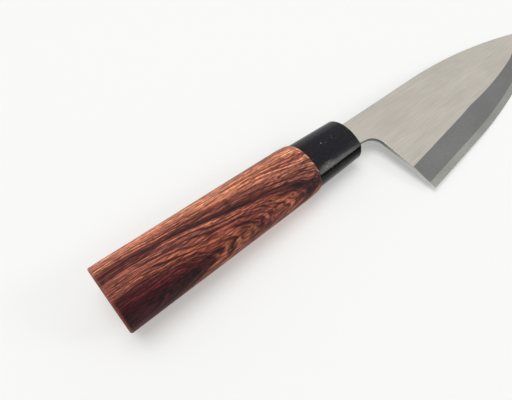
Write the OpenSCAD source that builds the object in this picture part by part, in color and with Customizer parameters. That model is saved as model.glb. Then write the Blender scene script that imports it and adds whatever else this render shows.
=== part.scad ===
// Deba: a single-bevel Japanese fish knife for the right hand, as it lies on a table.
//
// The pieces are drawn along the handle axis: +X from the butt to the tip, +Y to the spine,
// +Z to the bevelled side. lying() then turns them all onto the places where the knife
// touches the table, which are the handle's shoulder and the belly of the edge.

/* [Blade outline] */
// Length from the ferrule's mouth to the tip
blade_reach = 170; // [150:1:200]
// Width of the neck
neck_w = 12.8; // [11.4:0.1:14]
// Height of the spine above the handle axis
spine_rise = 6.6; // [5:0.1:8]
// Length of the straight part of the spine, from the ferrule's mouth
spine_straight = 62; // [30:1:100]
// How far the tip lies below the straight part of the spine
tip_drop = 16.1; // [12:0.1:20]
// Distance from the ferrule's mouth to the heel
heel_reach = 15.5; // [12:0.5:22]
// Height of the blade at the heel
heel_h = 52.8; // [44:0.1:60]
// Radius of the corner between the neck and the heel's end
corner_r = 7; // [3:0.5:8]
// How far the heel's end leans back towards the handle, in degrees
heel_lean = 2.5; // [0:0.5:5]
// Slope of the neck's lower side, in degrees
neck_slope = 8; // [2:1:14]
// Slope of the straight part of the edge, in degrees
edge_slope = 5; // [1:0.5:8]
// Length of the straight part of the edge, from the heel
edge_straight = 45; // [20:1:70]
// Length of the tip's curve, back from the tip
tip_run = 38; // [30:1:46]
// Slope where the belly ends and the tip's curve starts, in degrees
belly_slope = 15; // [12:0.5:18]

/* [Blade section] */
// Thickness at the spine
spine_t = 2.7; // [2.3:0.1:5]
// Thickness at the ridge line above the heel, where the bevel starts
ridge_line_t = 2.05; // [1.5:0.05:2.2]
// Width of the bevel at the heel
bevel_w = 14; // [10:0.5:18]
// Thickness left at the cutting edge
edge_land = 0.12; // [0.05:0.01:0.3]
// Distance from the ferrule's mouth to where the spine starts to get thinner
taper_reach = 75; // [40:1:120]
// How much thinner the spine is at the tip
taper_drop = 1.1; // [0:0.1:1.4]

/* [Hard steel layer] */
// Thickness of the hard steel on the flat side
hard_t = 0.6; // [0.4:0.05:1]
// Distance from the ferrule's mouth to where the hard steel starts
hard_reach = 3; // [1:0.5:8]
// Depth of the shallow hollow in the flat side
hollow_d = 0.3; // [0.1:0.05:0.35]
// Length of the hollow
hollow_len = 118; // [80:1:126]
// Width of the hollow at its middle
hollow_w = 32; // [20:1:36]
// Distance from the ferrule's mouth to the middle of the hollow
hollow_reach = 80; // [70:1:90]
// Depth of the middle of the hollow below the spine
hollow_below = 23.6; // [20:0.1:27]

/* [Tang] */
// Length of the tang behind the ferrule's mouth
tang_len = 82; // [50:1:100]
// Width of the tang where it enters the wood
tang_w = 9; // [6:0.1:9.4]
// Width of the tang at its end
tang_end_w = 6; // [4:0.1:8]

/* [Wooden handle] */
// Length of the wood, from the butt to the ferrule
wood_len = 99.2; // [85:0.1:120]
// Height of the handle at the butt, from edge side to spine side
butt_w = 29.6; // [26:0.1:33]
// Thickness of the handle at the butt
butt_t = 22; // [20:0.1:26]
// Height of the wood at the ferrule, before its end is rounded over
shoulder_w = 27.2; // [26.5:0.1:31]
// Thickness of the wood at the ferrule, before its end is rounded over
shoulder_t = 21.6; // [20.4:0.1:25]
// Radius of the butt's rounded rim
butt_round = 0.9; // [0.3:0.1:2]
// Length of the wood's rounded end at the ferrule
shoulder_round = 9; // [3:0.5:14]
// How far that rounding pulls the wood in
shoulder_drop = 0.9; // [0.3:0.1:1.2]
// How far the wood's ridge stands out, as a share of the half width
wood_ridge = 0.02; // [0:0.005:0.08]
// Diameter of the hole for the tang
bore_d = 10.4; // [10:0.1:11.4]
// How far that hole goes on beyond the tang's end
bore_spare = 6; // [2:0.5:12]

/* [Ferrule] */
// Length of the ferrule
ferrule_len = 29.4; // [24:0.1:34]
// Height of the ferrule at the wood
ferrule_back_w = 25.1; // [24:0.1:25.4]
// Thickness of the ferrule at the wood
ferrule_back_t = 18.8; // [18:0.1:19.4]
// Height of the ferrule at its mouth
ferrule_mouth_w = 23.4; // [22.6:0.1:25]
// Thickness of the ferrule at its mouth
ferrule_mouth_t = 17; // [16.6:0.1:19]
// Radius of the mouth's rounded rim
mouth_round = 1.5; // [0.5:0.1:2]
// Thickness of the front wall, which the neck goes through
front_wall = 6; // [4:0.1:8]
// How far the ferrule's ridge stands out, as a share of the half width
ferrule_ridge = 0.07; // [0:0.005:0.09]
// Place of the ridge round the handle, from the edge side, in degrees
ridge_turn = 39.5; // [30:0.5:50]
// Width of the wood's tenon inside the ferrule
tenon_w = 18.6; // [18:0.1:19.2]
// Thickness of that tenon
tenon_t = 13.4; // [13:0.1:13.8]
// Glue gap round the tenon
glue_gap = 0.1; // [0.05:0.05:0.3]
// Gap round the neck in the front wall, which resin fills
neck_gap = 0.35; // [0.2:0.05:0.6]

/* [Lying] */
// Slope of the edge where it touches the table, in degrees
touch_slope = 20.5; // [16:0.5:24]

/* [Hidden] */
section_n = 72;
arc_n = 14;
round_n = 6;
hollow_n = 9;
overlap = 1;

// Places along the handle axis
mouth_x = wood_len + ferrule_len;
wall_x = mouth_x - front_wall;
neck_x = wall_x + neck_gap;
tang_end_x = mouth_x - tang_len;
tip_x = mouth_x + blade_reach;

// Unit vectors along a line of the given slope, and square to it towards the spine
function along(slope) = [cos(slope), sin(slope)];
function inward(slope) = [-sin(slope), cos(slope)];
// Points of an arc about c; a negative radius gives the side of it towards the table
function arc(c, r, from, to) =
    [for (i = [0 : arc_n]) c + r * inward(from + i * (to - from) / arc_n)];

// The spine's arc, which ends in the tip
spine_arc = blade_reach - spine_straight;
spine_r = (spine_arc ^ 2 + tip_drop ^ 2) / (2 * tip_drop);
spine_c = [mouth_x + spine_straight, spine_rise - spine_r];
tip_turn = asin(spine_arc / spine_r);
tip = spine_c + spine_r * inward(-tip_turn);

// The edge: a straight part, the belly and the tip's curve, each tangent to the last
heel = [mouth_x + heel_reach, spine_rise - heel_h];
belly_start = heel + edge_straight * along(edge_slope);
belly_r = (tip_x - tip_run - belly_start[0]) / (sin(belly_slope) - sin(edge_slope));
belly_c = belly_start + belly_r * inward(edge_slope);
belly_end = belly_c - belly_r * inward(belly_slope);
to_tip = tip - belly_end;
tip_slope = 2 * atan2(to_tip[1], to_tip[0]) - belly_slope;
tip_r = norm(to_tip) / (2 * sin((tip_slope - belly_slope) / 2));
tip_c = belly_end + tip_r * inward(belly_slope);

// The corner between the neck and the heel's end
neck_y = spine_rise - neck_w;
heel_side = (neck_y - heel[1] - heel_reach * tan(neck_slope))
    / (cos(heel_lean) - sin(heel_lean) * tan(neck_slope));
corner_start = heel + heel_side * inward(heel_lean)
    - corner_r * tan((90 - heel_lean - neck_slope) / 2) * along(-neck_slope);
corner_c = corner_start - corner_r * inward(-neck_slope);

// Heights and angles of the blade's section
flat_z = -spine_t / 2;
hard_z = flat_z + hard_t;
hard_x = mouth_x + hard_reach;
bevel_rise = (ridge_line_t - edge_land) / bevel_w;
flat_lean = atan((spine_t - ridge_line_t) / (heel_h - bevel_w));
taper = atan(taper_drop / (blade_reach - taper_reach));

// Half sizes of the wood at a distance from the butt
function wood_a(x) = (butt_w + (shoulder_w - butt_w) * x / wood_len) / 2;
function wood_b(x) = (butt_t + (shoulder_t - butt_t) * x / wood_len) / 2;

// The edge's touching point, and the tilt that brings the wood's shoulder down to its level
touch_c = touch_slope < belly_slope ? belly_c : tip_c;
touch_r = touch_slope < belly_slope ? belly_r : tip_r;
touch = touch_c - touch_r * inward(touch_slope);
shoulder_x = wood_len - shoulder_round;
touch_run = inward(touch_slope) * ([shoulder_x, 0] - touch);
touch_side = cos(touch_slope) * wood_a(shoulder_x);
tilt_a = touch_run ^ 2 - touch_side ^ 2;
tilt_b = touch_run * flat_z;
tilt_c = flat_z ^ 2 - wood_b(shoulder_x) ^ 2;
tilt = atan((tilt_b + sqrt(tilt_b ^ 2 - tilt_a * tilt_c)) / tilt_a);

// Where tilting the knife takes a point of it
function tilted(p) =
    let (t = along(touch_slope), n = inward(touch_slope), q = [p[0], p[1]])
    let (flat = (t * q) * t + (cos(tilt) * (n * q) - sin(tilt) * p[2]) * n)
    [flat[0], flat[1], sin(tilt) * (n * q) + cos(tilt) * p[2]];
butt_up = tilted([0, butt_w / 2, 0]);
butt_out = tilted([0, 0, butt_t / 2]);
low_x = -norm([butt_up[0], butt_out[0]]);
high_y = norm([butt_up[1], butt_out[1]]);
high_x = tilted([tip[0], tip[1], flat_z])[0];
low_y = tilted([heel[0], heel[1], flat_z])[1];
table_z = tilted([touch[0], touch[1], flat_z])[2];

// Lays the knife down, with the middle of its outline over the origin
module lying() {
    translate([-(low_x + high_x) / 2, -(low_y + high_y) / 2, -table_z])
        rotate(a = tilt, v = [cos(touch_slope), sin(touch_slope), 0])
            children();
}

// One ring of the handle's section at x: an oval with a blunt ridge
function ridge_out(turn, ridge) =
    let (reach = acos(1 / (1 + ridge)), off = abs(turn - ridge_turn))
    off < reach ? 1 / cos(reach - off) : 1;
function ring(x, a, b, ridge) =
    [for (i = [0 : section_n - 1])
        let (turn = i * 360 / section_n, out = ridge_out(turn, ridge))
        [x, -a * out * cos(turn), b * out * sin(turn)]];

// A closed skin over a list of rings
module skin(rings) {
    n = len(rings[0]);
    last = len(rings) - 1;
    points = [for (r = rings) each r];
    sides = [for (k = [0 : last - 1], i = [0 : n - 1])
        let (j = (i + 1) % n)
        [k * n + i, k * n + j, (k + 1) * n + j, (k + 1) * n + i]];
    first = [for (i = [0 : n - 1]) n - 1 - i];
    end = [for (i = [0 : n - 1]) last * n + i];
    polyhedron(points, concat([first], sides, [end]), convexity = 4);
}

// An oval bar along X with flat sides
module oval_bar(from, to, w, t) {
    translate([from, 0, 0]) rotate([90, 0, 90]) linear_extrude(to - from) {
        square([w - t, t], center = true);
        for (side = [-1, 1]) translate([side * (w - t) / 2, 0]) circle(d = t, $fn = 48);
    }
}

// Outline of the blade and neck, which starts just in front of the ferrule's inner wall
module blade_outline() {
    polygon(concat(
        [[neck_x, neck_y], [mouth_x, neck_y]],
        arc(corner_c, corner_r, -neck_slope, heel_lean - 90),
        [heel],
        arc(belly_c, -belly_r, edge_slope, belly_slope),
        arc(tip_c, -tip_r, belly_slope, tip_slope),
        arc(spine_c, spine_r, -tip_turn, 0),
        [[neck_x, spine_rise]]
    ));
}

// Outline of the tang, which narrows to its end and runs a little way into the neck
module tang_outline() {
    polygon([[tang_end_x, -tang_end_w / 2], [wall_x, -tang_w / 2], [wall_x + overlap, -tang_w / 2],
        [wall_x + overlap, tang_w / 2], [wall_x, tang_w / 2], [tang_end_x, tang_end_w / 2]]);
}

// What the bevel leaves: a block whose side along the edge slants inwards as it rises
module inside_bevel() {
    low = flat_z - overlap;
    high = spine_t / 2 + overlap;
    rings = [for (z = [high, low])
        let (in = (z - flat_z - edge_land) / bevel_rise)
        [for (p = concat(
            [belly_start - tip_x * along(edge_slope) + in * inward(edge_slope)],
            arc(belly_c, in - belly_r, edge_slope, belly_slope),
            arc(tip_c, in - tip_r, belly_slope, tip_slope + 20),
            [tip_c, belly_start - tip_x * along(edge_slope) + 2 * heel_h * inward(edge_slope)]
        )) [p[0], p[1], z]]];
    skin(rings);
}

// What is ground off the bevelled side, so that the spine is the thickest part
module above_flats() {
    side = 2 * heel_h;
    translate([0, spine_rise, flat_z + spine_t]) rotate([flat_lean, 0, 0]) {
        translate([0, -side, 0]) cube([2 * tip_x, 2 * side, spine_t]);
        translate([mouth_x + taper_reach, 0, 0]) rotate([0, taper, 0])
            translate([0, -side, 0]) cube([tip_x, 2 * side, spine_t]);
    }
}

// The whole blade, neck and tang, before it is split into its two steels
module whole_blade() {
    difference() {
        intersection() {
            translate([0, 0, flat_z]) linear_extrude(spine_t) {
                blade_outline();
                tang_outline();
            }
            inside_bevel();
        }
        above_flats();
    }
}

// The zone of the hard steel, from the flat side up
module hard_zone() {
    side = 2 * heel_h;
    translate([hard_x, -side, hard_z - side]) cube([2 * blade_reach, 2 * side, side]);
}

// The shallow hollow of the flat side, an oval bowl that leaves a flat rim
module hollow() {
    c = [mouth_x + hollow_reach, spine_rise - hollow_below];
    rings = [for (k = [1 : hollow_n])
        let (size = 1.2 * k / hollow_n)
        [for (i = [0 : section_n - 1])
            let (turn = i * 360 / section_n)
            [size * hollow_len / 2 * cos(turn), size * hollow_w / 2 * sin(turn),
                hollow_d * (1 - size ^ 2)]]];
    translate([c[0], c[1], flat_z]) rotate(edge_slope) skin(rings);
}

// Soft iron body of the blade, with the neck and the tang
module blade_body() {
    color([0.72, 0.71, 0.67]) difference() {
        whole_blade();
        hard_zone();
    }
}

// Hard steel layer of the flat side, which comes out as the cutting edge
module hard_steel_layer() {
    color([0.6, 0.61, 0.59]) difference() {
        intersection() {
            whole_blade();
            hard_zone();
        }
        hollow();
    }
}

// Wooden handle with its tenon, and the blind hole for the tang
module handle_wood() {
    rim = [for (i = [0 : round_n])
        let (turn = i * 90 / round_n, x = butt_round * (1 - cos(turn)))
        let (in = butt_round * (1 - sin(turn)))
        ring(x, wood_a(x) - in, wood_b(x) - in, wood_ridge)];
    shoulder = [for (i = [0 : round_n])
        let (turn = i * 90 / round_n, x = wood_len - shoulder_round * (1 - sin(turn)))
        let (in = shoulder_drop * (1 - cos(turn)))
        ring(x, wood_a(x) - in, wood_b(x) - in, wood_ridge)];
    color([0.42, 0.22, 0.16]) difference() {
        union() {
            skin(concat(rim, shoulder));
            oval_bar(wood_len - shoulder_round, wall_x - glue_gap, tenon_w, tenon_t);
        }
        translate([tang_end_x - bore_spare, 0, 0]) rotate([0, 90, 0])
            cylinder(h = tang_len + bore_spare, d = bore_d, $fn = 48);
    }
}

// Black ferrule with its blunt ridge, the socket for the tenon and the slot for the neck
module ferrule() {
    slot_w = neck_w + 2 * neck_gap;
    slot_t = spine_t + 2 * neck_gap;
    a0 = ferrule_back_w / 2;
    b0 = ferrule_back_t / 2;
    a1 = ferrule_mouth_w / 2;
    b1 = ferrule_mouth_t / 2;
    rim = [for (i = [0 : round_n])
        let (turn = i * 90 / round_n, x = mouth_x - mouth_round * (1 - sin(turn)))
        let (in = mouth_round * (1 - cos(turn)))
        ring(x, a1 - in, b1 - in, ferrule_ridge)];
    color([0.07, 0.07, 0.08]) difference() {
        skin(concat([ring(wood_len, a0, b0, ferrule_ridge)], rim));
        oval_bar(wood_len - overlap, wall_x, tenon_w + 2 * glue_gap, tenon_t + 2 * glue_gap);
        translate([wall_x - overlap, neck_y - neck_gap, -slot_t / 2])
            cube([front_wall + 2 * overlap, slot_w, slot_t]);
    }
}

// Resin that holds the tang in the wood and the neck in the front wall
module tang_resin() {
    color([0.16, 0.13, 0.11]) difference() {
        union() {
            translate([wall_x, 0, 0]) rotate([0, -90, 0])
                cylinder(h = wall_x - tang_end_x + overlap, d = bore_d, $fn = 48);
            translate([wall_x, neck_y - neck_gap, -spine_t / 2 - neck_gap])
                cube([front_wall, neck_w + 2 * neck_gap, spine_t + 2 * neck_gap]);
        }
        whole_blade();
    }
}

lying() blade_body();
lying() hard_steel_layer();
lying() handle_wood();
lying() ferrule();
lying() tang_resin();
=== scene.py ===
# %% [markdown]
# # A deba knife
# A deba is a heavy fish knife, sharpened on one side only. It lies here bevel side up, as a
# knife does when it is put down. The solids come from the CAD model; this script gives them
# their finish. It starts by loading that model as a fixed frame.

# %% Load the frame
import math

import bmesh
import bpy
from mathutils import Matrix, Vector


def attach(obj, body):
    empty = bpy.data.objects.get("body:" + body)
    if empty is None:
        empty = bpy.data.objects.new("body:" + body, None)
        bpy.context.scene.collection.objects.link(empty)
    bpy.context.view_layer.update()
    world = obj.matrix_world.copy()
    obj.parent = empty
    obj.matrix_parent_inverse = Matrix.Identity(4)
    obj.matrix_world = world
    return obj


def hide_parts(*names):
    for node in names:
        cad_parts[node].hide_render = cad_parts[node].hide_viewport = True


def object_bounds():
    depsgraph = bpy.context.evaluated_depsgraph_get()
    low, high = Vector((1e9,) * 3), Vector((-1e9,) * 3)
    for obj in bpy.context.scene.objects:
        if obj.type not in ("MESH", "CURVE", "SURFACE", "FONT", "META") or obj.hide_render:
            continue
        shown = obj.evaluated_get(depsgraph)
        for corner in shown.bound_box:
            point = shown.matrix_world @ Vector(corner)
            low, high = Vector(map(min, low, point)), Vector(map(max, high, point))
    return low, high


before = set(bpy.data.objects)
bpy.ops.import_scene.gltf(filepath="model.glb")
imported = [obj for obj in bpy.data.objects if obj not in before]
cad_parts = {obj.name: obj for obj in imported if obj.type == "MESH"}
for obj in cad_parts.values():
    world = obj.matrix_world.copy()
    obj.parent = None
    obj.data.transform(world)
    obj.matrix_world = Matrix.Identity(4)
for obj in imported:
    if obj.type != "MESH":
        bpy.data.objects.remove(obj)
cad_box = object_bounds()
print("CAD box in mm:", [round(1000 * (b - a), 2) for a, b in zip(*cad_box)])

# %% [markdown]
# ## The knife's own axes
# The knife leans a little on the table, because the handle is thicker than the blade. It is
# easier to shape and to paint along its own axes: x from the butt to the tip, y to the spine
# and z to the bevelled side, in millimetres. One matrix then lays it down.

# %% Lay the knife down
MM = 0.001
LEAN = math.radians(6.20705)
LEAN_DIRECTION = math.radians(20.5)
BUTT = Vector((-0.148949, 0.0153913, 0.0142594))

lean_axis = Vector((math.cos(LEAN_DIRECTION), math.sin(LEAN_DIRECTION), 0))
turned = Matrix.Rotation(LEAN, 4, lean_axis)
lay_down = Matrix.Translation(BUTT) @ turned @ Matrix.Scale(MM, 4)
print("butt at", [round(c / MM, 2) for c in lay_down @ Vector((0, 0, 0))])

# %% [markdown]
# ## From a bmesh to a piece
# Every piece ends the same way: its faces are turned outwards, it is laid down, and it rides
# on the knife's one body. Edges that are meant to be crisp are marked sharp, and all others
# are shaded smooth.

# %% Finish a piece
def finish(bm, name, materials, sharp_angle):
    bmesh.ops.recalc_face_normals(bm, faces=bm.faces)
    limit = math.radians(sharp_angle)
    for face in bm.faces:
        face.smooth = True
    for edge in bm.edges:
        if edge.smooth and len(edge.link_faces) == 2:
            edge.smooth = edge.calc_face_angle(0.0) < limit
    bmesh.ops.transform(bm, matrix=lay_down, verts=bm.verts)
    mesh = bpy.data.meshes.new(name)
    bm.to_mesh(mesh)
    bm.free()
    for material in materials:
        mesh.materials.append(material)
    piece = bpy.data.objects.new(name, mesh)
    bpy.context.collection.objects.link(piece)
    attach(piece, "root")
    print(name, len(mesh.polygons), "faces")
    return piece


print("every piece rides on the knife's one body")

# %% [markdown]
# ## Adding nodes
# A real finish is layers of colour, wear and shine. Here it is a small network of nodes. One
# helper adds a node, sets it and joins it; the materials and the room both use it. It takes
# the values for the node's sockets in their order, or by the sockets' names.

# %% Add a node
def join(tree, value, socket):
    if isinstance(value, bpy.types.NodeSocket):
        tree.links.new(value, socket)
    elif value is not None:
        socket.default_value = value


def add_node(tree, kind, *values, settings=None, **inputs):
    node = tree.nodes.new(kind)
    for key, value in (settings or {}).items():
        setattr(node, key, value)
    for value, socket in zip(values, node.inputs):
        join(tree, value, socket)
    for key, value in inputs.items():
        join(tree, value, node.inputs[key.replace("_", " ")])
    return node


def srgb(red, green, blue):
    def linear(value):
        value /= 255
        return value / 12.92 if value <= 0.04045 else ((value + 0.055) / 1.055) ** 2.4
    return (linear(red), linear(green), linear(blue))


print("mid grey is", round(srgb(128, 128, 128)[0], 3), "as light")

# %% [markdown]
# ## A finish
# The recipes below should read as lists of what each finish is made of, so every kind of node
# that they need has a short name here. All recipes start from the knife's own axes in
# millimetres, found from the object's own coordinates, so the marks stay on the piece.

# %% Build materials from nodes
class Finish:
    def __init__(self, name):
        self.material = bpy.data.materials.new(name)
        self.material.use_nodes = True
        self.tree = self.material.node_tree
        self.shader = self.tree.nodes["Principled BSDF"]

    def add(self, kind, *values, **inputs):
        return add_node(self.tree, kind, *values, **inputs)

    def knife(self):
        back = turned.to_3x3().transposed()
        place = self.add("ShaderNodeTexCoord").outputs["Object"]
        return self.add("ShaderNodeMapping", Vector=place, Scale=(1 / MM,) * 3,
                        Location=tuple(-1 / MM * (back @ BUTT)),
                        Rotation=tuple(back.to_euler())).outputs[0]

    def math(self, operation, *values):
        node = self.add("ShaderNodeMath", *values, settings={"operation": operation})
        return node.outputs[0]

    def measure(self, operation, place, other):
        node = self.add("ShaderNodeVectorMath", place, other,
                        settings={"operation": operation})
        return node.outputs["Value"]

    def along(self, place, direction):
        return self.measure("DOT_PRODUCT", place, direction)

    def away(self, place, point):
        return self.measure("DISTANCE", place, point)

    def stretch(self, place, scale):
        return self.add("ShaderNodeMapping", Vector=place, Scale=scale).outputs[0]

    def combine(self, x, y, z):
        return self.add("ShaderNodeCombineXYZ", x, y, z).outputs[0]

    def noise(self, place, detail, roughness=0.5, distortion=0.0):
        node = self.add("ShaderNodeTexNoise", Vector=place, Scale=1.0, Detail=detail,
                        Roughness=roughness, Distortion=distortion)
        return node.outputs["Fac"]

    def spread(self, value, low, high, to_low=0.0, to_high=1.0):
        node = self.add("ShaderNodeMapRange", value, low, high, to_low, to_high,
                        settings={"clamp": True})
        return node.outputs[0]

    def ramp(self, value, stops):
        node = self.add("ShaderNodeValToRGB", value)
        points = node.color_ramp.elements
        while len(points) < len(stops):
            points.new(0.5)
        for point, (place, colour) in zip(points, stops):
            point.position = place
            point.color = (*colour, 1.0)
        return node.outputs["Color"]

    def mix(self, share, first, second, blend="MIX"):
        number_and_vector_sockets = [None] * 5
        node = self.add("ShaderNodeMix", share, *number_and_vector_sockets, first, second,
                        settings={"data_type": "RGBA", "blend_type": blend})
        return node.outputs[2]

    def tint(self, colour, by, share=1.0):
        return self.mix(share, colour, by, "MULTIPLY")

    def bump(self, height, distance, strength):
        return self.add("ShaderNodeBump", Height=height, Distance=distance,
                        Strength=strength).outputs[0]

    def surface(self, **inputs):
        for key, value in inputs.items():
            join(self.tree, value, self.shader.inputs[key.replace("_", " ")])
        return self.material


print("finish helpers ready")

# %% [markdown]
# ## Rosewood: the growth layers
# The grip is cut from dark, reddish rosewood. Its growth layers are nearly flat sheets that
# cross the handle at a slant, so they show as straight streaks on the spine side and as nested
# flames where the surface runs along a layer. A solid texture gives both at once: a layer
# number is worked out for every point of the wood, and the colour follows that number. The
# sheets bend a little, wander and ripple, and sweep away near the butt.

# %% Growth layers
ACROSS_LAYERS = (-0.125, -0.768, 0.640)
ALONG_LAYERS = (0.0, 0.640, 0.768)
LAYER_BEND = 1 / 140
SWEEP, SWEEP_FADE = -2.2, 0.913
WANDER, WANDER_GRAIN = 2.8, (0.03, 0.11, 0.11)
RIPPLE, RIPPLE_GRAIN = 0.4, (0.07, 0.6, 0.6)

BUFF, TAN, AMBER, BROWN = (176, 110, 85), (197, 120, 90), (156, 83, 62), (120, 60, 48)
DARK, PLUM, DEEP = (70, 31, 29), (77, 24, 26), (53, 14, 21)
LAYER_TONES = (
    (-16.0, BUFF), (-9.0, TAN), (-2.2, TAN), (0.4, BROWN), (1.1, DARK), (1.8, DARK),
    (2.6, AMBER), (3.4, BROWN), (5.2, BROWN), (6.6, AMBER), (8.2, AMBER), (8.9, PLUM),
    (12.5, DEEP))


def growth_layers(wood, place, length, sideways):
    layer = wood.along(place, ACROSS_LAYERS)
    curve = wood.math("MULTIPLY", wood.math("MULTIPLY", sideways, sideways), LAYER_BEND)
    sweep = wood.math("MULTIPLY", wood.math("POWER", SWEEP_FADE, length), SWEEP)
    wander = wood.noise(wood.stretch(place, WANDER_GRAIN), detail=2.0)
    wander = wood.math("MULTIPLY_ADD", wander, WANDER, -WANDER / 2)
    ripple = wood.noise(wood.stretch(place, RIPPLE_GRAIN), detail=1.0)
    ripple = wood.math("MULTIPLY_ADD", ripple, RIPPLE, -RIPPLE / 2)
    for change in (curve, sweep, wander, ripple):
        layer = wood.math("ADD", layer, change)
    return layer


def layer_colour(wood, layer):
    low, high = LAYER_TONES[0][0], LAYER_TONES[-1][0]
    return wood.ramp(wood.spread(layer, low, high),
                     [((at - low) / (high - low), srgb(*tone)) for at, tone in LAYER_TONES])


print(len(LAYER_TONES), "tones across the growth layers")

# %% [markdown]
# ## Rosewood: streaks, fibres and pores
# Within a layer the wood is never even. Four sets of streaks, each finer and stronger than the
# last, follow the layers. Fibres, pale hairs and open pores run along the grain. All of them
# only tint the colour below, so that the layers stay in charge.

# %% Streaks and fibres
PLAIN = (1.0, 1.0, 1.0)
STREAKS = (  # how fine across, along and sideways; darkest and lightest tint
    (0.4, 0.006, 0.06, (0.8, 0.75, 0.76), (1.18, 1.22, 1.18)),
    (0.9, 0.008, 0.12, (0.7, 0.62, 0.64), (1.2, 1.26, 1.22)),
    (1.8, 0.008, 0.18, (0.56, 0.47, 0.5), (1.28, 1.36, 1.3)),
    (3.6, 0.014, 0.35, (0.38, 0.29, 0.32), (1.32, 1.33, 1.28)))
FIBRE_TINTS = ((0.38, (0.34, 0.26, 0.29)), (0.5, (1.06, 1.05, 1.06)), (0.62, (1.36, 1.36, 1.34)))
GRAIN_TINTS = ((0.38, (0.58, 0.49, 0.52)), (0.5, (1.03, 1.02, 1.02)), (0.62, (1.2, 1.2, 1.17)))
FINE_GRAIN, HAIR_GRAIN = (0.5, 3.6, 3.6), (0.12, 2.2, 2.2)
PALE_HAIR, HAIR_EDGE = (1.35, 1.36, 1.3, 1.0), (0.62, 0.68)
PORE_COLOUR, PORE_SHARE = (*srgb(40, 17, 20), 1.0), 0.7


def add_streaks(wood, colour, layer, length, sideways):
    for across, along, side, darkest, lightest in STREAKS:
        spot = wood.combine(wood.math("MULTIPLY", layer, across),
                            wood.math("MULTIPLY", length, along),
                            wood.math("MULTIPLY", sideways, side))
        streak = wood.noise(spot, detail=2.0)
        tone = wood.ramp(streak, ((0.39, darkest), (0.5, PLAIN), (0.61, lightest)))
        colour = wood.tint(colour, tone)
    return colour


def add_fibres(wood, colour, place, fibre, pore):
    colour = wood.tint(colour, wood.ramp(fibre, FIBRE_TINTS))
    grain = wood.noise(wood.stretch(place, FINE_GRAIN), detail=1.0, roughness=0.7)
    colour = wood.tint(colour, wood.ramp(grain, GRAIN_TINTS))
    hair = wood.noise(wood.stretch(place, HAIR_GRAIN), detail=1.0)
    colour = wood.tint(colour, PALE_HAIR, wood.spread(hair, *HAIR_EDGE))
    return wood.mix(wood.math("MULTIPLY", pore, PORE_SHARE), colour, PORE_COLOUR)


print(len(STREAKS), "sets of streaks")

# %% [markdown]
# ## Rosewood: the whole finish
# A few long, soft patches make the wood darker or lighter in places. The butt's broken rim is
# painted paler: partly rubbed wear, partly a painted highlight where the rounded rim catches
# the light. The surface is oiled, not varnished: pores are pits, fibres are fine ribs, and the
# sheen is low. The end grain is the same wood in a darker shade.

# %% Rosewood finish
FIBRE_GRAIN, FIBRE_HEIGHT, FIBRE_ROUGH = (0.1, 2.1, 2.1), 0.4, 0.16
PORE_GRAIN, PORE_EDGE, PORE_DEPTH = (0.3, 2.2, 2.2), (0.60, 0.64), 0.00008
PATCH_STRETCH, PATCH_CORE = (0.4, 1.0, 1.0), 0.5
PATCHES = (  # middle in stretched millimetres, reach, tint
    ((34.0, 2.5, 10.5), 8.0, (0.64, 0.6, 0.66)),
    ((38.5, -6.5, 9.2), 7.0, (0.6, 0.58, 0.64)),
    ((30.0, 9.5, 8.0), 9.0, (0.78, 0.7, 0.72)),
    ((12.0, -11.5, 6.0), 10.0, (0.5, 0.46, 0.5)),
    ((36.8, -4.0, 10.3), 6.0, (0.6, 0.62, 0.66)),
    ((36.8, 3.0, 10.5), 4.5, (1.4, 1.4, 1.45)),
    ((20.0, -11.7, 5.9), 7.0, (0.52, 0.52, 0.52)),
    ((10.0, -7.5, 9.2), 5.5, (1.35, 1.5, 1.45)),
    ((8.0, 7.5, 9.2), 9.0, (1.42, 1.42, 1.42)),
    ((21.0, -6.5, 9.3), 8.0, (1.3, 1.3, 1.32)))
RUBBED_AND_LIT_RIM, RIM_FADE, RIM_SHARE = (*srgb(160, 88, 72), 1.0), (1.3, 0.2), 0.5
OIL_TINT, OIL_SHEEN, OIL_ROUGH = (1.05, 1.2, 1.25), 0.17, 0.42


def rosewood(name, shade):
    wood = Finish(name)
    place = wood.knife()
    length = wood.along(place, (1.0, 0.0, 0.0))
    sideways = wood.along(place, ALONG_LAYERS)
    layer = growth_layers(wood, place, length, sideways)
    fibre = wood.noise(wood.stretch(place, FIBRE_GRAIN), detail=2.0, roughness=0.6)
    pore = wood.noise(wood.stretch(place, PORE_GRAIN), detail=1.0)
    pore = wood.spread(pore, *PORE_EDGE)
    colour = add_streaks(wood, layer_colour(wood, layer), layer, length, sideways)
    colour = add_fibres(wood, colour, place, fibre, pore)
    for point, reach, tint in PATCHES:
        distance = wood.away(wood.stretch(place, PATCH_STRETCH), point)
        colour = wood.tint(colour, (*tint, 1.0), wood.spread(distance, reach, PATCH_CORE))
    # butt rim painted paler: rubbed wear and a painted highlight where it catches the light
    rim = wood.spread(length, *RIM_FADE)
    colour = wood.mix(wood.math("MULTIPLY", rim, RIM_SHARE), colour, RUBBED_AND_LIT_RIM)
    colour = wood.tint(colour, (*(share * shade for share in OIL_TINT), 1.0))
    height = wood.math("SUBTRACT", wood.math("MULTIPLY", fibre, FIBRE_HEIGHT), pore)
    rough = wood.math("MULTIPLY_ADD", fibre, FIBRE_ROUGH, OIL_ROUGH)
    return wood.surface(Base_Color=colour, Roughness=rough, Specular_IOR_Level=OIL_SHEEN,
                        Normal=wood.bump(height, PORE_DEPTH, strength=0.6))


rosewood_side = rosewood("rosewood", shade=1.0)
rosewood_end = rosewood("rosewood_end_grain", shade=0.7)
print("rosewood made, with", len(PATCHES), "soft patches")
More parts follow.
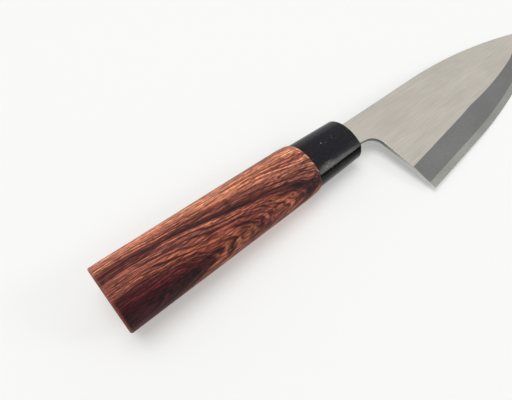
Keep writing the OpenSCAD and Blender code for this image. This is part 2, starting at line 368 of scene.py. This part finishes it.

# %% [markdown]
# ## Black ferrule: wear and a painted highlight
# A black surface shows every mark. This one has light specks, hair scratches, one small nick
# and a rubbed place on the ridge near the wood, which is also a painted highlight. Specks and
# scratches are the rare peaks of a noise. The nick and the rubbed place are each a distance
# from one point, so they stay put.

# %% Ferrule wear
SPECK_GRAIN, SPECK_EDGE, SPECK_SHARE = (1.4, 1.6, 1.6), (0.82, 0.86), 0.3
SCRATCH_GRAIN, SCRATCH_EDGE, SCRATCH_SHARE = (0.5, 5.0, 1.0), (0.73, 0.76), 0.1
SPECK, SCRATCH = (0.35, 0.33, 0.34, 1), (0.3, 0.3, 0.3, 1)
NICK_AT, NICK_EDGE, NICK = (110.1, 1.35, 9.0), (0.32, 0.15), (0.45, 0.45, 0.47, 1)
RUBBED_STRETCH, RUBBED_AT = (0.35, 1.0, 1.0), (36.9, -8.3, 6.9)
RUBBED_EDGE, RUBBED_SPOTS, RUBBED_AND_LIT = (1.9, 0.3), (0.46, 0.66), (0.33, 0.29, 0.25, 1)


def add_wear_and_highlight(black, colour, place, grain):
    speck = black.noise(black.stretch(place, SPECK_GRAIN), detail=0.0)
    speck = black.math("MULTIPLY", black.spread(speck, *SPECK_EDGE), SPECK_SHARE)
    colour = black.mix(speck, colour, SPECK)
    scratch = black.noise(black.stretch(place, SCRATCH_GRAIN), detail=0.0, distortion=0.4)
    scratch = black.math("MULTIPLY", black.spread(scratch, *SCRATCH_EDGE), SCRATCH_SHARE)
    colour = black.mix(scratch, colour, SCRATCH)
    nick = black.spread(black.away(place, NICK_AT), *NICK_EDGE)
    colour = black.mix(nick, colour, NICK)
    # the rubbed place is partly wear, partly a painted highlight on the ridge near the wood
    rubbed = black.away(black.stretch(place, RUBBED_STRETCH), RUBBED_AT)
    rubbed = black.math("MULTIPLY", black.spread(rubbed, *RUBBED_EDGE),
                        black.spread(grain, *RUBBED_SPOTS))
    return black.mix(rubbed, colour, RUBBED_AND_LIT)


print("wear: specks, scratches, a nick and a rubbed place")

# %% [markdown]
# ## Black ferrule: the whole finish
# The ferrule is a satin black. Above its ridge it has dust on it, and close to the ridge it is
# painted lighter: a painted highlight band that fades upwards. Below the ridge it is clean. Its
# shine comes from the room, so the base stays near black. It is dullest right under the ridge
# and shines more towards the edge side. One direction, which climbs over the ridge, places all
# of that.

# %% Ferrule finish
OVER_THE_RIDGE = (0.0211, 0.3, 1.0)
RIDGE_LINE, RIDGE_HIGHLIGHT_FADE = (5.2, 5.6), (8.6, 5.8)
UPPER_FADE, LOWER_FADE = (5.0, 5.6), (4.2, -0.5)
DULLEST, UPPER_SHEEN, LOWER_SHEEN = 0.015, 0.12, 0.26
SATIN_GRAIN, SATIN_DEPTH = (1.2, 4.0, 4.0), 0.00002
CLEAN_BLACK = (0.002, 0.002, 0.0025, 1)
THIN_DUST, THICK_DUST = (0.006, 0.0055, 0.008, 1), (0.02, 0.0185, 0.024, 1)
# the colour of the painted highlight band just above the ridge
PAINTED_RIDGE_HIGHLIGHT = (0.036, 0.034, 0.034, 1)


def black_ferrule():
    black = Finish("black_ferrule")
    place = black.knife()
    grain = black.noise(black.stretch(place, SATIN_GRAIN), detail=3.0, roughness=0.6)
    climb = black.along(place, OVER_THE_RIDGE)
    dust_and_highlight = black.mix(grain, THIN_DUST, THICK_DUST)
    # painted highlight: the ferrule is painted lighter close to the ridge, fading upwards
    dust_and_highlight = black.mix(black.spread(climb, *RIDGE_HIGHLIGHT_FADE), dust_and_highlight, PAINTED_RIDGE_HIGHLIGHT)
    colour = black.mix(black.spread(climb, *RIDGE_LINE), CLEAN_BLACK, dust_and_highlight)
    colour = add_wear_and_highlight(black, colour, place, grain)
    sheen = black.math("MAXIMUM", black.spread(climb, *UPPER_FADE, DULLEST, UPPER_SHEEN),
                       black.spread(climb, *LOWER_FADE, DULLEST, LOWER_SHEEN))
    return black.surface(Base_Color=colour, Specular_IOR_Level=sheen,
                         Roughness=black.math("MULTIPLY_ADD", grain, 0.1, 0.09),
                         Normal=black.bump(grain, SATIN_DEPTH, strength=0.5))


ferrule_black = black_ferrule()
print("ferrule finish made")

# %% [markdown]
# ## The steels
# The upper flat is brushed along the blade and looks warm. The bevel is ground on a stone and
# is darker and matte. Where the bevel cuts through into the hard layer, the steel is lighter
# again. The notch between neck and heel is painted dark, a painted reflection of the black
# ferrule, with a dark line under its upper rim, and is painted lighter towards the heel's
# corner, a painted reflection of the white table. All of them are metals whose fine lines
# come from noise stretched along the blade.

# %% Steel finishes
LINE_DARK, LINE_LIGHT = (0.84, 0.84, 0.85), (1.12, 1.12, 1.11)
CLOUD_GRAIN, CLOUD_SPREAD = (0.03, 0.07, 0.07), (0.3, 0.7)
# the notch's dark line under its rim, and its painted reflection lighter towards the heel
DARK_RIM_LINE, DARK_RIM_LINE_FADE, PAINTED_REFLECTION_FADE = (0.07, 0.073, 0.067, 1), (0.1, 0.7), (-12.0, -30.0)
SPOT, SPOT_GRAIN, SPOT_EDGE = (0.12, 0.12, 0.12, 1), (1.6, 1.6, 1.6), (0.66, 0.74)
LINE_DEPTH = 0.00001
GLOSS_RANGE = 0.18


def brushed(name, dark, light, rough, lines, spots=0.0, painted_reflection_to=None):
    steel = Finish(name)
    place = steel.knife()
    cloud = steel.noise(steel.stretch(place, CLOUD_GRAIN), detail=3.0)
    hair = steel.noise(steel.stretch(place, lines), detail=3.0, roughness=0.6)
    colour = steel.mix(steel.spread(cloud, *CLOUD_SPREAD), (*dark, 1), (*light, 1))
    colour = steel.tint(colour, steel.ramp(hair, ((0.3, LINE_DARK), (0.7, LINE_LIGHT))))
    if painted_reflection_to:
        # a dark line under the notch's upper rim
        rim = steel.spread(steel.along(place, (0.0, 0.0, 1.0)), *DARK_RIM_LINE_FADE)
        colour = steel.mix(rim, colour, DARK_RIM_LINE)
        # painted reflection: the notch is painted lighter towards the heel's corner
        ground = steel.spread(steel.along(place, (0.0, 1.0, 0.0)), *PAINTED_REFLECTION_FADE)
        colour = steel.mix(ground, colour, (*painted_reflection_to, 1))
    if spots:
        dot = steel.noise(steel.stretch(place, SPOT_GRAIN), detail=1.0)
        dot = steel.math("MULTIPLY", steel.spread(dot, *SPOT_EDGE), spots)
        colour = steel.mix(dot, colour, SPOT)
    gloss = steel.math("MULTIPLY_ADD", hair, GLOSS_RANGE, rough - GLOSS_RANGE / 2)
    return steel.surface(Base_Color=colour, Metallic=1.0, Roughness=gloss,
                         Normal=steel.bump(hair, LINE_DEPTH, strength=0.6))


upper_flat = brushed("upper_flat", (0.63, 0.588, 0.52), (0.70, 0.655, 0.588),
                     rough=0.36, lines=(0.05, 5.0, 5.0))
bevel_iron = brushed("bevel_iron", (0.20, 0.203, 0.193), (0.235, 0.238, 0.227),
                     rough=0.5, lines=(1.2, 2.4, 2.4), spots=0.5)
edge_steel = brushed("edge_steel", (0.32, 0.325, 0.295), (0.41, 0.415, 0.38),
                     rough=0.42, lines=(0.8, 2.4, 2.4))
side_steel = brushed("side_steel", (0.55, 0.54, 0.52), (0.62, 0.61, 0.58),
                     rough=0.34, lines=(2.0, 2.0, 5.0))
# the notch's dark base is a painted dark reflection of the black ferrule
notch_painted_reflection = brushed("notch_painted_reflection", (0.17, 0.178, 0.16), (0.24, 0.25, 0.228),
                     rough=0.4, lines=(0.6, 0.6, 3.0), painted_reflection_to=(0.5, 0.49, 0.47))
flat_side = brushed("flat_side", (0.55, 0.545, 0.52), (0.62, 0.61, 0.58),
                    rough=0.36, lines=(0.08, 4.0, 4.0))
print("steels made")

# %% [markdown]
# ## Resin
# What closes the slot round the neck is a dull, dark filler. Its CAD solid has the right
# shape, so it keeps its mesh and only gets a finish.

# %% Resin finish
DUST_GRAIN, DUST_DEPTH = (1.5, 1.5, 1.5), 0.00005
RESIN_DARK, RESIN_PALE = (0.02, 0.016, 0.014, 1), (0.05, 0.042, 0.036, 1)

resin = Finish("resin")
dust = resin.noise(resin.stretch(resin.knife(), DUST_GRAIN), detail=3.0)
resin.surface(Base_Color=resin.mix(dust, RESIN_DARK, RESIN_PALE),
              Roughness=resin.math("MULTIPLY_ADD", dust, 0.2, 0.55),
              Normal=resin.bump(dust, DUST_DEPTH, strength=0.4))
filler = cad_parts["tang_resin"]
filler.data.materials.clear()
filler.data.materials.append(resin.material)
print("resin on", filler.name)

# %% [markdown]
# ## Growing a handle piece
# The grip and the ferrule are both lofts: an oval ring that is drawn along the handle and
# changes size on the way. Each point of the ring remembers its turn round the handle, so
# every new ring can be placed by that turn. The turn is 0 on the edge side and goes up over
# the bevelled side, where the ferrule has a blunt ridge: flat below it, slightly swelled above.

# %% Rings and lofts
RING_POINTS = 144
RIDGE_TURN = math.radians(39.5)
SWELL = math.radians(38)


def oval(turn, width, thick, ridge):
    top = 1 + ridge
    reach = math.acos(1 / top)
    off = turn - RIDGE_TURN
    out = 1.0
    if -reach < off < 0:
        out = 1 / math.cos(reach + off)
    elif 0 <= off < SWELL:
        far = (top ** 2 - 1) / 2 / (1 - top * math.cos(SWELL))
        near = far * math.cos(SWELL - off)
        out = math.sqrt(near ** 2 + 1 + 2 * far) - near
    return -width / 2 * out * math.cos(turn), thick / 2 * out * math.sin(turn)


def tapered(start, end, share, inset, ridge):
    width, thick = (a + (b - a) * share - 2 * inset for a, b in zip(start, end))
    return lambda turn: oval(turn, width, thick, ridge)


def first_ring(bm, x, section):
    turns = bm.verts.layers.float.new("turn")
    made = bmesh.ops.create_circle(bm, cap_ends=True, segments=RING_POINTS, radius=1.0)
    for vert in made["verts"]:
        vert[turns] = math.atan2(vert.co.y, vert.co.x) % (2 * math.pi)
        vert.co = (x, *section(vert[turns]))
    return made["verts"][0].link_faces[0]


def grow(bm, face, x, section):
    turns = bm.verts.layers.float["turn"]
    face = bmesh.ops.extrude_discrete_faces(bm, faces=[face])["faces"][0]
    for vert in face.verts:
        vert.co = (x, *section(vert[turns]))
    return face


def quarter_turn(steps):
    angles = [step / steps * math.pi / 2 for step in range(steps + 1)]
    return [(math.sin(angle), math.cos(angle)) for angle in angles]


print("rings of", RING_POINTS, "points")

# %% [markdown]
# ## The grip
# The grip swells slightly to the butt, whose rim is just broken. At the ferrule its end is
# rounded over, and a tenon goes on into the ferrule. A blind hole takes the tang. It grows
# from the butt's rim to the tenon's end and back in through the hole, so it is one skin.

# %% Grip
WOOD_LEN = 99.2
BUTT_SIZE = (29.58, 21.97)
SHOULDER_SIZE = (27.2, 21.6)
GRIP_RIDGE = 0.02
RIM = 0.9
ROUND_LEN, ROUND_DROP = 9.0, 0.9
GRIP_RINGS = (25.0, 50.0, 75.0)
TENON_WIDTH, TENON_THICK = 18.6, 13.4
TENON_END = 122.5
CORNER_STEEPNESS = 3
HOLE_RADIUS, HOLE_END = 5.2, 40.6
END_GRAIN, END_FACING = 1, 0.9


def grip_section(x, inset=0.0):
    return tapered(BUTT_SIZE, SHOULDER_SIZE, x / WOOD_LEN, inset, GRIP_RIDGE)


def tenon_section(grow_by=0.0):
    width, thick = TENON_WIDTH + 2 * grow_by, TENON_THICK + 2 * grow_by
    straight = (width - thick) / 2
    def place(turn):
        y, z = -math.cos(turn), math.sin(turn)
        out = min(1, abs(y) * CORNER_STEEPNESS)
        return thick / 2 * y + math.copysign(straight, y) * out, thick / 2 * z
    return place


def hole_section(turn):
    return -HOLE_RADIUS * math.cos(turn), HOLE_RADIUS * math.sin(turn)


bm = bmesh.new()
face = first_ring(bm, 0.0, grip_section(0.0, RIM))
for sine, cosine in quarter_turn(steps=8)[1:]:
    x = RIM * (1 - cosine)
    face = grow(bm, face, x, grip_section(x, RIM * (1 - sine)))
for x in GRIP_RINGS:
    face = grow(bm, face, x, grip_section(x))
for sine, cosine in quarter_turn(steps=12):
    x = WOOD_LEN - ROUND_LEN * (1 - sine)
    face = grow(bm, face, x, grip_section(x, ROUND_DROP * (1 - cosine)))
face = grow(bm, face, WOOD_LEN, tenon_section())
face = grow(bm, face, TENON_END, tenon_section())
face = grow(bm, face, TENON_END, hole_section)
face = grow(bm, face, HOLE_END, hole_section)
bmesh.ops.holes_fill(bm, edges=[e for e in bm.edges if e.is_boundary])
bm.normal_update()
for face in bm.faces:
    if abs(face.normal.x) > END_FACING:
        face.material_index = END_GRAIN
grip = finish(bm, "grip", [rosewood_side, rosewood_end], sharp_angle=30.0)
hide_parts("handle_wood")

# %% [markdown]
# ## The ferrule
# It tapers to its mouth, where the rim is rounded. Its front wall has a slot for the neck,
# and behind the wall it is a socket for the tenon. The loft starts with the outer ring at the
# wood, turns in through the slot and ends in the socket, and the two back rings are bridged.

# %% Ferrule
WALL_X, MOUTH_X = 122.6, 128.6
BACK_SIZE = (25.1, 18.8)
MOUTH_SIZE = (23.4, 17.0)
FERRULE_RIDGE = 0.07
FERRULE_RINGS = (105.0, 112.0, 120.0)
MOUTH_ROUND = 1.5
TAPER_LEN = MOUTH_X - MOUTH_ROUND - WOOD_LEN
SOCKET_GAP = 0.1
SLOT_HALF_Y, SLOT_HALF_Z, SLOT_MIDDLE = 6.75, 1.7, 0.2
NEARLY_ZERO = 1e-9


def ferrule_section(x, inset=0.0):
    share = min(1.0, (x - WOOD_LEN) / TAPER_LEN)
    return tapered(BACK_SIZE, MOUTH_SIZE, share, inset, FERRULE_RIDGE)


def slot_section(turn):
    y, z = -math.cos(turn), math.sin(turn)
    size = min(SLOT_HALF_Y / max(abs(y), NEARLY_ZERO), SLOT_HALF_Z / max(abs(z), NEARLY_ZERO))
    return SLOT_MIDDLE + y * size, z * size


bm = bmesh.new()
face = first_ring(bm, WOOD_LEN, ferrule_section(WOOD_LEN))
for x in FERRULE_RINGS:
    face = grow(bm, face, x, ferrule_section(x))
for sine, cosine in quarter_turn(steps=10):
    x = MOUTH_X - MOUTH_ROUND * (1 - sine)
    face = grow(bm, face, x, ferrule_section(x, MOUTH_ROUND * (1 - cosine)))
face = grow(bm, face, MOUTH_X, slot_section)
face = grow(bm, face, WALL_X, slot_section)
face = grow(bm, face, WALL_X, tenon_section(SOCKET_GAP))
face = grow(bm, face, WOOD_LEN, tenon_section(SOCKET_GAP))
bmesh.ops.delete(bm, geom=[face], context="FACES_ONLY")
bmesh.ops.bridge_loops(bm, edges=[e for e in bm.edges if e.is_boundary])
ferrule = finish(bm, "ferrule_shell", [ferrule_black], sharp_angle=12.0)
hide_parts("ferrule")

# %% [markdown]
# ## The blade
# The body is soft iron, forged and ground. Its CAD solid is exact, so the blade starts from a
# merged copy of it. Two things are added: the long edges of the spine and the neck are eased,
# so that they catch the light, and each face gets the finish of its own part of the blade.

# %% Soft iron body
EASE_WIDTH = 0.15
HEEL_CORNER_Y = -30.5
NOTCH_END_X = MOUTH_X + 20
FLAT_TILT, BEVEL_TILT, WALL_TILT = 3, 12, 60
UPRIGHT, LYING, TO_THE_SPINE = 0.2, 0.985, 0.3
MERGE_GAP, SAME_PLANE = 0.002, math.radians(0.02)
STEEL_SHARP = 4.0
FLAT, BEVEL, SIDE, NOTCH = range(4)


def steel_copy(node):
    bm = bmesh.new()
    bm.from_mesh(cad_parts[node].data)
    bmesh.ops.transform(bm, matrix=lay_down.inverted(), verts=bm.verts)
    bmesh.ops.remove_doubles(bm, verts=bm.verts, dist=MERGE_GAP)
    bmesh.ops.dissolve_limit(bm, angle_limit=SAME_PLANE, verts=bm.verts, edges=bm.edges)
    bm.normal_update()
    return bm


def top_to_side(edge):
    up = sorted(abs(face.normal.z) for face in edge.link_faces)
    middle = (edge.verts[0].co + edge.verts[1].co) / 2
    return up[0] < UPRIGHT and up[1] > LYING and middle.x > MOUTH_X and middle.z > 0 \
        and middle.y > HEEL_CORNER_Y


bm = steel_copy("blade_body")
edges = [e for e in bm.edges if len(e.link_faces) == 2 and top_to_side(e)]
made = bmesh.ops.bevel(bm, geom=edges, offset=EASE_WIDTH, offset_type="OFFSET", segments=3,
                       profile=0.5, affect="EDGES", clamp_overlap=True, material=-1)
bm.normal_update()
print("eased", len(edges), "edges into", len(made["faces"]), "faces")
for face in bm.faces:
    tilt = math.degrees(math.acos(max(-1.0, min(1.0, face.normal.z))))
    face.material_index = FLAT if tilt < FLAT_TILT else BEVEL if tilt < BEVEL_TILT else SIDE
    wall = tilt > WALL_TILT and face.normal.y < TO_THE_SPINE
    if wall and face.calc_center_median().x < NOTCH_END_X:
        face.material_index = NOTCH
iron = [upper_flat, bevel_iron, side_steel, notch_painted_reflection]
blade = finish(bm, "blade", iron, STEEL_SHARP)
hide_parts("blade_body")

# %% [markdown]
# ## The hard layer
# The smith welds a thin plate of hard steel to the flat side, and the bevel cuts down through
# the iron into it. So it shows as a light strip along the cutting edge and as the whole flat
# side. This one too is a merged copy of its CAD solid. Where the flat side's level rim meets
# the ground hollow, the border stays crisp.

# %% Hard steel layer
STRIP, LAYER_SIDE, UNDERSIDE = range(3)
FACING, LEVEL = 0.9, 0.9999999

bm = steel_copy("hard_steel_layer")
for face in bm.faces:
    up = face.normal.z
    face.material_index = UNDERSIDE if up < -FACING else STRIP if up > FACING else LAYER_SIDE
    if up < -LEVEL:
        for edge in face.edges:
            edge.smooth = False
hard = [edge_steel, side_steel, flat_side]
edge_layer = finish(bm, "edge_layer", hard, STEEL_SHARP)
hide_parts("hard_steel_layer")

# %% [markdown]
# ## The table
# The knife lies on plain white. The white glows a little where it is looked at, directly or in
# a shiny surface, so that its shadow stays soft. The glow puts no light on the knife.

# %% Table
TABLE_SIZE, TABLE_GAP = 4.0, 0.00002
GLOW_SHARE = 0.26

bpy.ops.mesh.primitive_plane_add(size=TABLE_SIZE,
                                 location=(0, 0, cad_box[0].z - TABLE_GAP))
table = bpy.context.object
table.name = "table"
paper = Finish("table_white")
paper.surface(Base_Color=(0.93, 0.935, 0.92, 1), Roughness=0.9, Specular_IOR_Level=0.1)
rays = paper.add("ShaderNodeLightPath").outputs
looked = paper.math("MAXIMUM", rays["Is Glossy Ray"], rays["Is Transmission Ray"])
looked = paper.math("MAXIMUM", rays["Is Camera Ray"], looked)
glow = paper.add("ShaderNodeEmission", Color=(0.975, 0.98, 0.965, 1), Strength=1.0)
shown = paper.add("ShaderNodeMixShader", paper.math("MULTIPLY", looked, GLOW_SHARE),
                  paper.shader.outputs[0], glow.outputs[0])
paper.tree.links.new(shown.outputs[0], paper.tree.nodes["Material Output"].inputs["Surface"])
table.data.materials.append(paper.material)
print("table at", round(table.location.z / MM, 3), "mm")

# %% [markdown]
# ## The room
# Metal and black both show the room, so the room is part of their look. It has white walls and
# a dimmer ceiling that is brighter beyond the tip. The camera, the shiny surfaces and clear
# ones all see that one room. The even light it gives to everything is set apart from it.

# %% Room light
BRIGHT_SIDE = (0.68, -0.17, 0.70)
CEILING_FADE, CEILING_DIM, CEILING_BRIGHT = (0.2, 0.95), 0.22, 0.72
WALLS_END, CEILING_START = 0.25, 0.4
WALL_WHITE = 1.0
ROOM_FILL = 0.52
SMOOTH = {"interpolation_type": "SMOOTHSTEP"}
LARGER = {"operation": "MAXIMUM"}

world = bpy.data.worlds.new("room")
bpy.context.scene.world = world
world.use_nodes = True
sky = world.node_tree
rays = add_node(sky, "ShaderNodeLightPath").outputs
shiny = add_node(sky, "ShaderNodeMath", rays["Is Glossy Ray"], rays["Is Transmission Ray"],
                 settings=LARGER)
seen = add_node(sky, "ShaderNodeMath", rays["Is Camera Ray"], shiny.outputs[0],
                settings=LARGER)
direction = add_node(sky, "ShaderNodeTexCoord").outputs["Generated"]
toward = add_node(sky, "ShaderNodeVectorMath", direction, BRIGHT_SIDE,
                  settings={"operation": "DOT_PRODUCT"})
ceiling = add_node(sky, "ShaderNodeMapRange", toward.outputs["Value"], *CEILING_FADE,
                   CEILING_DIM, CEILING_BRIGHT, settings=SMOOTH)
height = add_node(sky, "ShaderNodeSeparateXYZ", direction).outputs["Z"]
walls = add_node(sky, "ShaderNodeMapRange", height, WALLS_END, CEILING_START, 1.0, 0.0,
                 settings=SMOOTH)
room = add_node(sky, "ShaderNodeMix", walls.outputs[0], None, ceiling.outputs[0], WALL_WHITE)
strength = add_node(sky, "ShaderNodeMix", seen.outputs[0], None, ROOM_FILL, room.outputs[0])
background = sky.nodes["Background"]
background.inputs["Color"].default_value = (1.0, 1.0, 1.0, 1)
sky.links.new(strength.outputs[0], background.inputs["Strength"])
print("room ready")

# %% [markdown]
# ## The lamps
# The photo's shadow is soft and close to the knife, so one large lamp hangs nearly overhead. A
# small one, low on the edge side, draws the bright band along the ferrule's ridge.

# %% Soft lamps
def soft_lamp(name, place, size, watts):
    data = bpy.data.lights.new(name, "AREA")
    data.shape = "DISK"
    data.size = size
    data.energy = watts
    lamp = bpy.data.objects.new(name, data)
    lamp.location = place
    lamp.rotation_euler = (-Vector(place)).to_track_quat("-Z", "Y").to_euler()
    bpy.context.collection.objects.link(lamp)
    print(name, "at", place)


soft_lamp("window", (-0.2, 0.35, 1.8), size=1.5, watts=17.0)
soft_lamp("side_window", (0.93, -0.87, 0.80), size=0.42, watts=3.2)

# %% [markdown]
# ## The camera
# The eye and the directions to the picture's right and down were worked out from the outlines
# of butt, grip, ferrule, heel and spine. They are given along the knife's own axes.

# %% Camera
EYE = Vector((0.62, -57.2, 147.85))
RIGHT = Vector((0.75321, -0.64899, 0.10713))
DOWN = Vector((-0.51829, -0.68579, -0.51097))
FOCAL_PIXELS, PICTURE_PIXELS, SENSOR_WIDTH = 399.4, 512, 36.0

forward = RIGHT.cross(DOWN).normalized()
axes = Matrix((RIGHT, -DOWN, -forward)).transposed()
camera_data = bpy.data.cameras.new("camera")
camera_data.sensor_width = SENSOR_WIDTH
camera_data.lens = FOCAL_PIXELS / PICTURE_PIXELS * SENSOR_WIDTH
camera_data.clip_start = 0.01
camera = bpy.data.objects.new("camera", camera_data)
camera.matrix_world = Matrix.Translation(lay_down @ EYE) @ (turned.to_3x3() @ axes).to_4x4()
bpy.context.collection.objects.link(camera)
bpy.context.scene.camera = camera
bpy.context.scene.view_settings.view_transform = "Standard"
print("camera at", [round(c, 4) for c in camera.location])

# %% [markdown]
# ## Sizes
# The finished knife should fill the same box as its CAD model.

# %% Sizes
bpy.context.view_layer.update()
